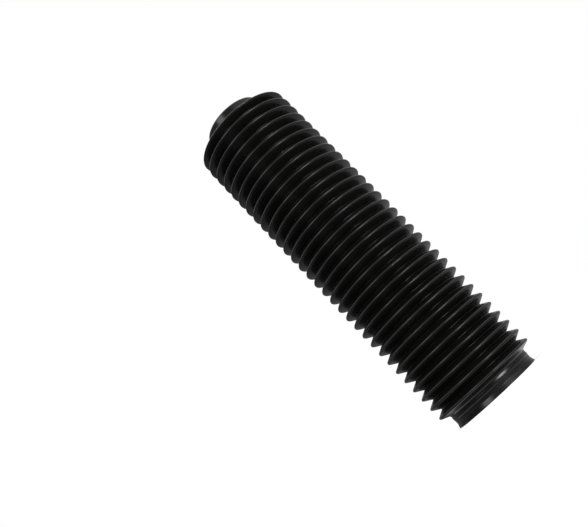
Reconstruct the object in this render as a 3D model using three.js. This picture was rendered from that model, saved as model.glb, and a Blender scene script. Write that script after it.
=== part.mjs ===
// Fork gaiter: the ribbed rubber sleeve that covers the sliding tube of a motorcycle's front fork.
// It is one hollow moulding in millimetres. +Z runs up its axis, from the flat lip of the wide
// collar at z = 0 to the rim of the narrow collar.
import * as THREE from "three";

// Folds
const foldCount = 31;
const foldPitch = 7.0;
const crestRadius = 33.5; // outside, at the top of a fold
const rootRadius = 28.4; // outside, at the bottom of the valley between two folds
const crestLand = 1.0; // width of the blunt top of a fold
const crestWall = 2.3; // rubber behind a crest, measured towards the axis
const rootWall = 1.9; // rubber behind a root, measured towards the axis

// Wide collar, which is clamped over the fork's lower leg
const wideCollarHeight = 11.0; // from the lip to the lowest crest
const wideCollarRadius = 27.5; // outside, at the waist just under the ridge
const wideCollarWall = 2.1;
const wideNeckHeight = 7.9; // from the lip to where the lowest fold meets the collar
const lipFlare = 0.8; // how far the lip stands proud of the waist
const flareHeight = 5.2; // from the lip to the top of the flare, where the ridge begins
const ridgeWidth = 1.8; // of the low ridge that keeps the clamp in place
const ridgeProud = 0.25;
const lipRound = 0.6; // at the lip's outer edge
const mouthRound = 1.0; // at the lip's inner edge

// Narrow collar, which is clamped round the fork's upper tube
const narrowCollarHeight = 11.5; // from the highest crest to the rim
const narrowBoreRadius = 18.0;
const narrowCollarWall = 2.2;
const narrowSeatHeight = 8.0; // the straight outside of the collar, up to the rim
const rimRound = 0.8; // at the rim's outer edge
const rimChamfer = 0.4; // at the rim's inner edge
const shoulderWall = 2.1; // rubber between the highest fold and the collar, measured along the axis

// Facets
const facetCount = 32; // round the axis
const flareSteps = 3; // along the curve of the flare

const topCrestHeight = wideCollarHeight + (foldCount - 1) * foldPitch;
const rimHeight = topCrestHeight + narrowCollarHeight;

function point(radius, height) {
  return new THREE.Vector2(radius, height);
}

// Height of a fold's crest, counted from 0 at the wide collar.
function crestHeight(fold) {
  return wideCollarHeight + fold * foldPitch;
}

// The lip's flare: a shallow curve that starts out at the lip and ends upright under the ridge.
function lipFlareCurve() {
  const points = [];
  for (let step = 0; step <= flareSteps; step++) {
    const share = step / flareSteps;
    const radius = wideCollarRadius + lipFlare * (1 - share) ** 2;
    points.push(point(radius, lipRound + share * (flareHeight - lipRound)));
  }
  return points;
}

// Outside of the wide collar, from the lip's edge up to where the lowest fold begins.
function wideCollarOutside() {
  return [
    point(wideCollarRadius + lipFlare - lipRound, 0),
    ...lipFlareCurve(),
    point(wideCollarRadius + ridgeProud, flareHeight + ridgeWidth / 2),
    point(wideCollarRadius, flareHeight + ridgeWidth),
    point(wideCollarRadius, wideNeckHeight),
  ];
}

// Outside of the folds: two points on each blunt crest, and one root between neighbours.
function foldsOutside() {
  const points = [];
  for (let fold = 0; fold < foldCount; fold++) {
    const height = crestHeight(fold);
    if (fold > 0) points.push(point(rootRadius, height - foldPitch / 2));
    points.push(point(crestRadius, height - crestLand / 2));
    points.push(point(crestRadius, height + crestLand / 2));
  }
  return points;
}

// Outside of the narrow collar, over its rim and down to the foot of its bore.
function narrowCollar() {
  const outerRadius = narrowBoreRadius + narrowCollarWall;
  const seatFoot = rimHeight - narrowSeatHeight;
  return [
    point(outerRadius, seatFoot),
    point(outerRadius, rimHeight - rimRound),
    point(outerRadius - rimRound, rimHeight),
    point(narrowBoreRadius + rimChamfer, rimHeight),
    point(narrowBoreRadius, rimHeight - rimChamfer),
    point(narrowBoreRadius, seatFoot - shoulderWall),
  ];
}

// Inside of the folds, from the top down: a hollow behind each crest, and a ridge behind each root.
function foldsInside() {
  const points = [];
  for (let fold = foldCount - 1; fold >= 0; fold--) {
    const height = crestHeight(fold);
    points.push(point(crestRadius - crestWall, height));
    if (fold > 0) points.push(point(rootRadius - rootWall, height - foldPitch / 2));
  }
  return points;
}

// Inside of the wide collar, from the lowest fold down to the mouth.
function wideCollarInside() {
  const boreRadius = wideCollarRadius - wideCollarWall;
  return [
    point(boreRadius, wideNeckHeight),
    point(boreRadius, mouthRound),
    point(boreRadius + mouthRound, 0),
  ];
}

// The section runs up the outside and down the inside, and closes on its first point.
function section() {
  const points = [
    ...wideCollarOutside(),
    ...foldsOutside(),
    ...narrowCollar(),
    ...foldsInside(),
    ...wideCollarInside(),
  ];
  return [...points, points[0].clone()];
}

// Moulded black rubber with a satin skin.
function rubber() {
  return new THREE.MeshStandardMaterial({ color: 0x161717, roughness: 0.5, metalness: 0 });
}

function gaiter() {
  const geometry = new THREE.LatheGeometry(section(), facetCount);
  geometry.rotateX(Math.PI / 2); // the lathe's axis is Y
  const mesh = new THREE.Mesh(geometry, rubber());
  mesh.name = "gaiter";
  return mesh;
}

const forkGaiter = new THREE.Group();
forkGaiter.add(gaiter());

export default forkGaiter;
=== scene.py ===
# %% [markdown]
# # A moulded rubber fork gaiter
#
# A fork gaiter is the ribbed rubber sleeve that keeps dirt off the sliding tube of a
# motorcycle's front fork. It is one hollow moulding: a wide collar that is clamped on the
# lower leg, a stack of folds that open and close as the fork moves, and a narrow collar
# that is clamped on the upper tube.
#
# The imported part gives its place, height and width. This script makes the fine surface:
# rounded folds and collars in black rubber, on a white floor.

import math

import bmesh
import bpy
from mathutils import Matrix, Vector


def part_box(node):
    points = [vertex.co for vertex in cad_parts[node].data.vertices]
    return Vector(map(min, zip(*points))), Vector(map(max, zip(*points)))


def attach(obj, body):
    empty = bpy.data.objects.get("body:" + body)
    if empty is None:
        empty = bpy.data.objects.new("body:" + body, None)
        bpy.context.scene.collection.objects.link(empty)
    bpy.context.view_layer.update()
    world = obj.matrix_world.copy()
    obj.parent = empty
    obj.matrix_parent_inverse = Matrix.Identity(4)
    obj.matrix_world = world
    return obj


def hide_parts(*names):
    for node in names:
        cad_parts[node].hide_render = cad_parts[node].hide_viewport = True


MM = 0.001  # in metres

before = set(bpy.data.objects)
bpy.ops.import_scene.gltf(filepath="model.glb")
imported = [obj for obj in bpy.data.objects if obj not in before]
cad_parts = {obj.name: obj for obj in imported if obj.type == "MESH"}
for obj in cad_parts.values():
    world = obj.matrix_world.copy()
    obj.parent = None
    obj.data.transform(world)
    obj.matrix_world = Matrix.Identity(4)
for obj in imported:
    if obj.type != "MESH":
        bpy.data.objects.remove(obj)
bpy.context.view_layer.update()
gaiter_low, gaiter_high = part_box("gaiter")
print("The packed gaiter is", round(gaiter_high.z / MM, 1), "mm tall")

# %% [markdown]
# ## The camera comes first
#
# The gaiter stands on its wide collar. The camera is level with that collar and looks up
# along the folds, which is why they close up towards the narrow end. It is also rolled,
# so that the gaiter runs across the frame: a tall subject fills a wide frame better on
# the slant.
#
# The camera's place is a product of matrices. Read from the left, they put it in front of
# the gaiter, swing it sideways, tip it up from level, and roll it about its line of sight.

# %% Camera
FILM_WIDTH = 36.0  # mm
LENS = 45.27  # mm
NEAR_CLIP = 10.0 * MM
FAR_CLIP = 100.0  # metres, well past the floor's edge
LEVEL = math.radians(90.0)  # a new camera looks straight down

camera_distance = 433.9 * MM  # from the gaiter's axis
camera_height = 16.9 * MM  # above the lip
camera_tip = math.radians(15.34)  # up from level
camera_swing = math.radians(4.43)  # to the left
camera_roll = math.radians(-42.90)

camera_data = bpy.data.cameras.new("camera")
camera_data.sensor_width = FILM_WIDTH
camera_data.lens = LENS
camera_data.clip_start = NEAR_CLIP
camera_data.clip_end = FAR_CLIP
camera = bpy.data.objects.new("camera", camera_data)
bpy.context.scene.collection.objects.link(camera)
bpy.context.scene.camera = camera

camera.matrix_world = (
    Matrix.Translation((0.0, -camera_distance, camera_height))
    @ Matrix.Rotation(camera_swing, 4, "Z")
    @ Matrix.Rotation(LEVEL + camera_tip, 4, "X")
    @ Matrix.Rotation(camera_roll, 4, "Z")
)
print("The camera's lens is", LENS, "mm")

# %% [markdown]
# ## The section as a line of corners
#
# A shape that was moulded round a core is easiest to read as its section. The section
# here is a closed line of sharp corners, and each corner has its own fillet. A vertex
# bevel turns each corner into an arc, just as a toolmaker rounds the corners of a mould.
# Rounding afterwards keeps the corner list short, and one number changes one fillet.
#
# A fillet of a given radius begins some way back from its corner, and further back when
# the corner is sharp. Half the corner's angle gives that setback.

# %% Corners and fillets
def corner(radius, height, fillet, segments=3):
    """One corner of the section, from sizes in millimetres."""
    return {"at": Vector((radius, 0.0, height)) * MM, "fillet": fillet * MM, "segments": segments}


def round_corner(section, vertex, fillet, segments):
    """Replaces a corner of the line by an arc that touches both of its sides."""
    sides = [edge.other_vert(vertex).co - vertex.co for edge in vertex.link_edges]
    half_angle = sides[0].angle(sides[1]) / 2
    setback = fillet / math.tan(half_angle)
    bmesh.ops.bevel(
        section,
        geom=[vertex],
        offset=setback,
        offset_type="OFFSET",
        segments=segments,
        profile=0.5,
        affect="VERTICES",
        material=-1,
    )


def section_line(corners):
    """A closed wire through the corners, rounded at each of them."""
    section = bmesh.new()
    vertices = [section.verts.new(c["at"]) for c in corners]
    for here, there in zip(vertices, vertices[1:] + vertices[:1]):
        section.edges.new((here, there))
    for vertex, c in zip(vertices, corners):
        round_corner(section, vertex, c["fillet"], c["segments"])
    return section


# %% [markdown]
# ## One fold
#
# A fold is a straight flank between two arcs that bend opposite ways: a round one on the
# crest and a tight one in the root. Both arcs and the flank between them have to touch
# without a kink, and that fixes the flank's slope. It is the inner tangent of the two
# circles, so its angle comes from the distance between their centres.
#
# The bevel's arc isn't quite a circle. Its middle lies a fixed share of the way from the
# corner to its chord, whatever the angle, so the sharp radii come from that share.

# %% Fold sizes, in millimetres
FOLD_COUNT = 31
FOLD_PITCH = 7.0
CREST_RADIUS = 33.5
CREST_FILLET = 1.05
ROOT_RADIUS = 28.4
ROOT_FILLET = 0.22
CREST_WALL = 2.3  # rubber behind a crest, measured towards the axis
ROOT_WALL = 1.9
INNER_CREST_FILLET = 0.5
INNER_ROOT_FILLET = 1.2

WIDE_COLLAR_HEIGHT = 11.0  # from the lip to the lowest crest
TOP_CREST_HEIGHT = WIDE_COLLAR_HEIGHT + (FOLD_COUNT - 1) * FOLD_PITCH

ARC_SHARE = 2.0 - math.sqrt(2.0)  # of the way from a corner to its arc's chord


def flank_slope(top_radius, top_fillet, bottom_radius, bottom_fillet):
    """Angle between a flank and the direction away from the axis."""
    along = FOLD_PITCH / 2
    across = (top_radius - top_fillet) - (bottom_radius + bottom_fillet)
    lean = math.atan2(along, across)
    tuck = math.asin((top_fillet + bottom_fillet) / math.hypot(along, across))
    return lean - tuck


def sharp_radii(top_radius, top_fillet, bottom_radius, bottom_fillet):
    """Where the flanks would meet at crest and root if no corner were rounded."""
    slope = flank_slope(top_radius, top_fillet, bottom_radius, bottom_fillet)
    reach = ARC_SHARE * math.cos(slope) ** 2 / math.sin(slope)
    return top_radius + top_fillet * reach, bottom_radius - bottom_fillet * reach


outer_crest, outer_root = sharp_radii(CREST_RADIUS, CREST_FILLET, ROOT_RADIUS, ROOT_FILLET)
inner_crest, inner_root = sharp_radii(
    CREST_RADIUS - CREST_WALL, INNER_CREST_FILLET, ROOT_RADIUS - ROOT_WALL, INNER_ROOT_FILLET
)
outer_slope = flank_slope(CREST_RADIUS, CREST_FILLET, ROOT_RADIUS, ROOT_FILLET)
print("The flanks lean", round(math.degrees(outer_slope), 1), "degrees from square")


# %% Corners of the folds
def fold_heights():
    return [WIDE_COLLAR_HEIGHT + fold * FOLD_PITCH for fold in range(FOLD_COUNT)]


def folds_outside():
    """From the lowest crest up, with a root between neighbours."""
    corners = []
    for height in fold_heights():
        if corners:
            root_height = height - FOLD_PITCH / 2
            corners.append(corner(outer_root, root_height, ROOT_FILLET, segments=5))
        corners.append(corner(outer_crest, height, CREST_FILLET, segments=6))
    return corners


def folds_inside():
    """From the highest fold down, so that the section's line closes."""
    corners = []
    for height in reversed(fold_heights()):
        if corners:
            root_height = height + FOLD_PITCH / 2
            corners.append(corner(inner_root, root_height, INNER_ROOT_FILLET, segments=4))
        corners.append(corner(inner_crest, height, INNER_CREST_FILLET))
    return corners


print("There are", len(fold_heights()), "crests, the highest at", TOP_CREST_HEIGHT, "mm")

# %% [markdown]
# ## The two collars
#
# The wide collar has a waist for its clamp between two things that keep the clamp in
# place: a lip that flares out below it, and a low ridge above it. The ridge is less than
# a third of a millimetre high, but its broad round top catches a long streak of light.
# The narrow collar is a plain sleeve with a rounded rim. A shoulder joins it to the
# highest fold.

# %% The wide collar's corners, in millimetres
LIP_RADIUS = 28.3
LIP_FILLET = 0.3
WAIST_RADIUS = 27.5
WAIST_LEAN = 0.05  # the waist is narrower by this at the flare, and wider at the ridge
FLARE_HEIGHT = 2.8
FLARE_FILLET = 0.3
RIDGE_HEIGHT = 6.0
RIDGE_PROUD = 0.3
RIDGE_FILLET = 2.8
RIDGE_FOOT = 1.1  # from the ridge's foot up to its top
RIDGE_FOOT_FILLET = 0.5
NECK_HEIGHT = 8.3
NECK_TUCK = 0.1  # the neck is narrower than the waist by this
NECK_FILLET = 1.2
WIDE_BORE_RADIUS = 25.4
WIDE_BORE_HEIGHT = 7.9
MOUTH_FILLET = 1.0


def wide_collar_outside():
    ridge_foot = RIDGE_HEIGHT - RIDGE_FOOT
    return [
        corner(LIP_RADIUS, 0.0, LIP_FILLET),
        corner(WAIST_RADIUS - WAIST_LEAN, FLARE_HEIGHT, FLARE_FILLET),
        corner(WAIST_RADIUS + WAIST_LEAN, ridge_foot, RIDGE_FOOT_FILLET),
        corner(WAIST_RADIUS + RIDGE_PROUD, RIDGE_HEIGHT, RIDGE_FILLET, segments=8),
        corner(WAIST_RADIUS - NECK_TUCK, NECK_HEIGHT, NECK_FILLET, segments=6),
    ]


def wide_collar_inside():
    return [
        corner(WIDE_BORE_RADIUS, WIDE_BORE_HEIGHT, MOUTH_FILLET, segments=4),
        corner(WIDE_BORE_RADIUS, 0.0, MOUTH_FILLET, segments=5),
    ]


print("The wide collar's bore is", 2 * WIDE_BORE_RADIUS, "mm across")

# %% The narrow collar's corners, in millimetres
NARROW_COLLAR_HEIGHT = 11.5  # from the highest crest to the rim
NARROW_SEAT_HEIGHT = 8.0  # the straight outside, up to the rim
NARROW_RADIUS = 20.2
NARROW_BORE_RADIUS = 18.0
SHOULDER_WALL = 2.1  # measured along the axis
SEAT_FOOT_FILLET = 1.0
RIM_FILLET = 1.4
RIM_INNER_FILLET = 0.4
BORE_FOOT_FILLET = 1.2

RIM_HEIGHT = TOP_CREST_HEIGHT + NARROW_COLLAR_HEIGHT
SEAT_FOOT = RIM_HEIGHT - NARROW_SEAT_HEIGHT


def narrow_collar():
    return [
        corner(NARROW_RADIUS, SEAT_FOOT, SEAT_FOOT_FILLET, segments=5),
        corner(NARROW_RADIUS, RIM_HEIGHT, RIM_FILLET, segments=6),
        corner(NARROW_BORE_RADIUS, RIM_HEIGHT, RIM_INNER_FILLET),
        corner(NARROW_BORE_RADIUS, SEAT_FOOT - SHOULDER_WALL, BORE_FOOT_FILLET, segments=4),
    ]


print("The narrow collar's rim is", RIM_HEIGHT, "mm above the lip")

# %% [markdown]
# ## Spin the section
#
# The finished line is spun once round the axis. The last step is merged into the first,
# so the skin closes without a seam. The flanks are long flat faces between small arcs, so
# their shading is weighted by area, which keeps them straight to the eye.

# %% Spin
STEPS_ROUND = 128


def place_mesh(name, mesh_edit):
    """Turns an edited mesh into an object of the scene."""
    mesh = bpy.data.meshes.new(name)
    mesh_edit.to_mesh(mesh)
    mesh_edit.free()
    placed = bpy.data.objects.new(name, mesh)
    bpy.context.scene.collection.objects.link(placed)
    return placed


def spin_section(name, corners):
    mesh_edit = section_line(corners)
    bmesh.ops.spin(
        mesh_edit,
        geom=mesh_edit.verts[:] + mesh_edit.edges[:],
        cent=(0.0, 0.0, 0.0),
        axis=(0.0, 0.0, 1.0),
        dvec=(0.0, 0.0, 0.0),
        angle=math.radians(360.0),
        steps=STEPS_ROUND,
        use_merge=True,
    )
    bmesh.ops.recalc_face_normals(mesh_edit, faces=mesh_edit.faces[:])
    for face in mesh_edit.faces:
        face.smooth = True
    return place_mesh(name, mesh_edit)


gaiter = spin_section(
    "gaiter_moulding",
    wide_collar_outside() + folds_outside() + narrow_collar() + folds_inside() + wide_collar_inside(),
)
shading = gaiter.modifiers.new("straight_flanks", "WEIGHTED_NORMAL")
shading.weight = 50
print("The moulding has", len(gaiter.data.polygons), "faces")

# %% [markdown]
# ## Helpers for materials
#
# Colours are written as sRGB hex values, as a colour picker shows them, and turned to the
# linear values that the shader wants.

# %% Colour and nodes
def linear(hex_colour):
    """An sRGB hex colour as linear red, green, blue and alpha."""
    channels = [int(hex_colour[i : i + 2], 16) / 255 for i in (1, 3, 5)]
    return [c / 12.92 if c <= 0.04045 else ((c + 0.055) / 1.055) ** 2.4 for c in channels] + [1.0]


def add_node(tree, kind, settings=None, links=None, **properties):
    """Adds a node, sets its sockets, and links its inputs from other nodes' outputs."""
    node = tree.nodes.new(kind)
    for name, value in properties.items():
        setattr(node, name, value)
    for socket, value in (settings or {}).items():
        node.inputs[socket].default_value = value
    for socket, output in (links or {}).items():
        tree.links.new(output, node.inputs[socket])
    return node


def new_material(name):
    material = bpy.data.materials.new(name)
    material.use_nodes = True
    material.node_tree.nodes.clear()
    return material, material.node_tree


# %% [markdown]
# ## Moulded black rubber
#
# Carbon black makes the rubber almost as dark as soot, and what the eye sees is its skin.
# The mould's polished steel leaves it satin: a clear highlight with soft edges, and a
# pale sheen where the surface turns away. Rubber's index of refraction is about 1.5, and
# the wax that blooms on its skin takes a little of that gloss away. The skin isn't even.
# A fine grain of about a third of a millimetre breaks the highlights, and patches of a
# few centimetres are a little duller and paler where it has been handled.

# %% Rubber
RUBBER_INDEX = 1.4
GRAIN_SIZE = 0.35 * MM
GRAIN_DEPTH = 0.05 * MM
GRAIN_STRENGTH = 0.12
PATCH_SIZE = 28.0 * MM
UNTOUCHED, HANDLED = 0.3, 0.7  # of the noise's range, which is 0 to 1
UNTOUCHED_ROUGHNESS, HANDLED_ROUGHNESS = 0.22, 0.28
UNTOUCHED_BLACK, HANDLED_BLACK = "#0d0d0c", "#121211"


def rubber_material():
    material, tree = new_material("moulded_black_rubber")
    place = add_node(tree, "ShaderNodeTexCoord").outputs["Object"]
    grain = add_node(
        tree, "ShaderNodeTexNoise", {"Scale": 1.0 / GRAIN_SIZE, "Detail": 2.0}, {"Vector": place}
    )
    patches = add_node(
        tree, "ShaderNodeTexNoise", {"Scale": 1.0 / PATCH_SIZE, "Detail": 3.0}, {"Vector": place}
    )
    dullness = add_node(
        tree,
        "ShaderNodeMapRange",
        {
            "From Min": UNTOUCHED,
            "From Max": HANDLED,
            "To Min": UNTOUCHED_ROUGHNESS,
            "To Max": HANDLED_ROUGHNESS,
        },
        {"Value": patches.outputs["Fac"]},
    )
    tone = add_node(tree, "ShaderNodeValToRGB", links={"Fac": patches.outputs["Fac"]})
    darkest, palest = tone.color_ramp.elements
    darkest.color, darkest.position = linear(UNTOUCHED_BLACK), UNTOUCHED
    palest.color, palest.position = linear(HANDLED_BLACK), HANDLED
    bump = add_node(
        tree,
        "ShaderNodeBump",
        {"Strength": GRAIN_STRENGTH, "Distance": GRAIN_DEPTH},
        {"Height": grain.outputs["Fac"]},
    )
    skin = add_node(
        tree,
        "ShaderNodeBsdfPrincipled",
        {"IOR": RUBBER_INDEX},
        {
            "Base Color": tone.outputs["Color"],
            "Roughness": dullness.outputs["Result"],
            "Normal": bump.outputs["Normal"],
        },
    )
    add_node(tree, "ShaderNodeOutputMaterial", links={"Surface": skin.outputs["BSDF"]})
    return material


gaiter.data.materials.append(rubber_material())
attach(gaiter, "root")
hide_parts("gaiter")
print("The gaiter's material is", gaiter.data.materials[0].name)

# %% [markdown]
# ## White floor and white surroundings
#
# The photograph is a cut-out on pure white. The floor is white paint, with a share of its
# own light for what the camera sees directly or in a reflection, so that it stays white
# to the horizon and still takes the gaiter's shadow. The world does the same: white to the
# camera and in the rubber's gloss, and dimmer as a light.

# %% Floor and world
FLOOR_SIZE = 20.0  # metres
FLOOR_PAINT = "#f4f4f4"
FLOOR_OWN_LIGHT = 0.64
WORLD_WHITE = 1.0
WORLD_LIGHT = 0.4


def seen_directly(tree):
    """1 for what the camera sees, straight or in gloss and glass, and 0 for other light."""
    path = add_node(tree, "ShaderNodeLightPath")
    either = add_node(
        tree,
        "ShaderNodeMath",
        links={0: path.outputs["Is Camera Ray"], 1: path.outputs["Is Glossy Ray"]},
        operation="MAXIMUM",
    )
    return add_node(
        tree,
        "ShaderNodeMath",
        links={0: either.outputs[0], 1: path.outputs["Is Transmission Ray"]},
        operation="MAXIMUM",
    ).outputs[0]


def floor_material():
    material, tree = new_material("white_floor_paint")
    paint = add_node(tree, "ShaderNodeBsdfDiffuse", {"Color": linear(FLOOR_PAINT)})
    own_light = add_node(
        tree,
        "ShaderNodeMath",
        {1: FLOOR_OWN_LIGHT},
        {0: seen_directly(tree)},
        operation="MULTIPLY",
    )
    glow = add_node(tree, "ShaderNodeEmission", links={"Strength": own_light.outputs[0]})
    both = add_node(
        tree, "ShaderNodeAddShader", links={0: paint.outputs["BSDF"], 1: glow.outputs["Emission"]}
    )
    add_node(tree, "ShaderNodeOutputMaterial", links={"Surface": both.outputs["Shader"]})
    return material


def make_floor():
    mesh_edit = bmesh.new()
    bmesh.ops.create_grid(mesh_edit, x_segments=1, y_segments=1, size=FLOOR_SIZE / 2)
    floor = place_mesh("floor", mesh_edit)
    floor.data.materials.append(floor_material())


def make_world():
    world = bpy.data.worlds.new("white_surroundings")
    world.use_nodes = True
    tree = world.node_tree
    tree.nodes.clear()
    level = add_node(
        tree,
        "ShaderNodeMapRange",
        {"To Min": WORLD_LIGHT, "To Max": WORLD_WHITE},
        {"Value": seen_directly(tree)},
    )
    sky = add_node(
        tree,
        "ShaderNodeBackground",
        {"Color": linear("#ffffff")},
        {"Strength": level.outputs["Result"]},
    )
    add_node(tree, "ShaderNodeOutputWorld", links={"Surface": sky.outputs["Background"]})
    bpy.context.scene.world = world


make_floor()
make_world()
print("The floor is", FLOOR_SIZE, "m across")

# %% [markdown]
# ## Grey sheets that paint shade into the gloss
#
# Black rubber shows its shape by what it mirrors. In an all-white room its edges turn as
# white as the background, so grey sheets stand where the object would mirror too much
# white, and paint shade into its reflections. Each sheet starts on the floor beside the
# gaiter, runs out to a curved rail, and hangs from it like a curtain. The darker sheets
# are on the left and the lighter ones on the right, so the left edge of the folds ends in
# painted shade and the right edge pale. They show only in the gloss, and neither hide the
# background nor take light.

# %% Sheets of painted shade for the gloss
RAIL_RADIUS = 1600.0 * MM
ABOVE_FLOOR = 0.5 * MM
SHADE_SHEET_STEPS = 24


def shade_sheet_material(name, colour):
    material, tree = new_material(name)
    shade_grey = add_node(tree, "ShaderNodeBsdfDiffuse", {"Color": linear(colour)})
    add_node(tree, "ShaderNodeOutputMaterial", links={"Surface": shade_grey.outputs["BSDF"]})
    return material


def lay_shade_sheet(name, first_azimuth, last_azimuth, inner_radius, rail_height, colour):
    """A grey sheet between two azimuths, in degrees, seen only in reflections, where it paints shade.
    Azimuth 0 is the camera's side.
    """
    first, last = math.radians(first_azimuth), math.radians(last_azimuth)
    outwards = Vector((math.sin(first), -math.cos(first), 0.0))
    up = Vector((0.0, 0.0, 1.0))
    side = [
        outwards * inner_radius + up * ABOVE_FLOOR,
        outwards * RAIL_RADIUS + up * ABOVE_FLOOR,
        outwards * RAIL_RADIUS + up * rail_height,
    ]
    mesh_edit = bmesh.new()
    verts = [mesh_edit.verts.new(place) for place in side]
    edges = [mesh_edit.edges.new(pair) for pair in zip(verts, verts[1:])]
    bmesh.ops.spin(
        mesh_edit,
        geom=verts + edges,
        cent=(0.0, 0.0, 0.0),
        axis=(0.0, 0.0, 1.0),
        angle=last - first,
        steps=SHADE_SHEET_STEPS,
    )
    shade_sheet = place_mesh(name, mesh_edit)
    shade_sheet.data.materials.append(shade_sheet_material(name, colour))
    shade_sheet.visible_camera = False
    shade_sheet.visible_diffuse = False
    shade_sheet.visible_shadow = False
    print(name, "covers", last_azimuth - first_azimuth, "degrees")


# Grey sheets seen only in the rubber's reflections: they paint shade into its gloss, darker on the
# left and paler on the right.
lay_shade_sheet("reflected_shade_back_left", -185.0, -90.0, 29.0 * MM, 1200.0 * MM, "#a0a0a0")
lay_shade_sheet("reflected_shade_front_left", -90.0, 30.0, 40.0 * MM, 1200.0 * MM, "#7c7c7c")
lay_shade_sheet("reflected_shade_front_right", 30.0, 95.0, 40.0 * MM, 600.0 * MM, "#c4c4c4")
lay_shade_sheet("reflected_shade_back_right", 95.0, 175.0, 50.0 * MM, 1000.0 * MM, "#e0e0e0")

# %% [markdown]
# ## Two soft boxes
#
# Each crest carries two short highlights, one each side of the middle. A highlight sits
# where the surface faces half way between the camera and the lamp, so lamps that stand
# 29 and 38 degrees to the sides put them there. The left lamp is tall and soft, and the
# narrow collar mirrors it. The right one stands low and is a narrow strip, so that it
# draws a short sharp streak on the ridge of the wide collar.

# %% Lamps
LAMP_DISTANCE = 1.1  # metres, from the gaiter's middle


def soft_box(name, azimuth, elevation, width, height, power):
    """A rectangular lamp that faces the gaiter's middle. Azimuth 0 is the camera's side."""
    data = bpy.data.lights.new(name, "AREA")
    data.shape = "RECTANGLE"
    data.size, data.size_y = width, height
    data.energy = power
    lamp = bpy.data.objects.new(name, data)
    turn, rise = math.radians(azimuth), math.radians(elevation)
    towards = Vector(
        (math.sin(turn) * math.cos(rise), -math.cos(turn) * math.cos(rise), math.sin(rise))
    )
    middle = (gaiter_low + gaiter_high) / 2
    lamp.location = middle + towards * LAMP_DISTANCE
    lamp.rotation_mode = "QUATERNION"
    lamp.rotation_quaternion = towards.to_track_quat("Z", "Y")
    bpy.context.scene.collection.objects.link(lamp)
    print(name, "gives", power, "W")


soft_box("left_soft_box", azimuth=-29.0, elevation=32.0, width=0.46, height=0.64, power=3.5)
soft_box("right_soft_box", azimuth=38.0, elevation=6.5, width=0.42, height=0.14, power=5.8)

# %% Finish
bpy.context.scene.view_settings.view_transform = "Standard"
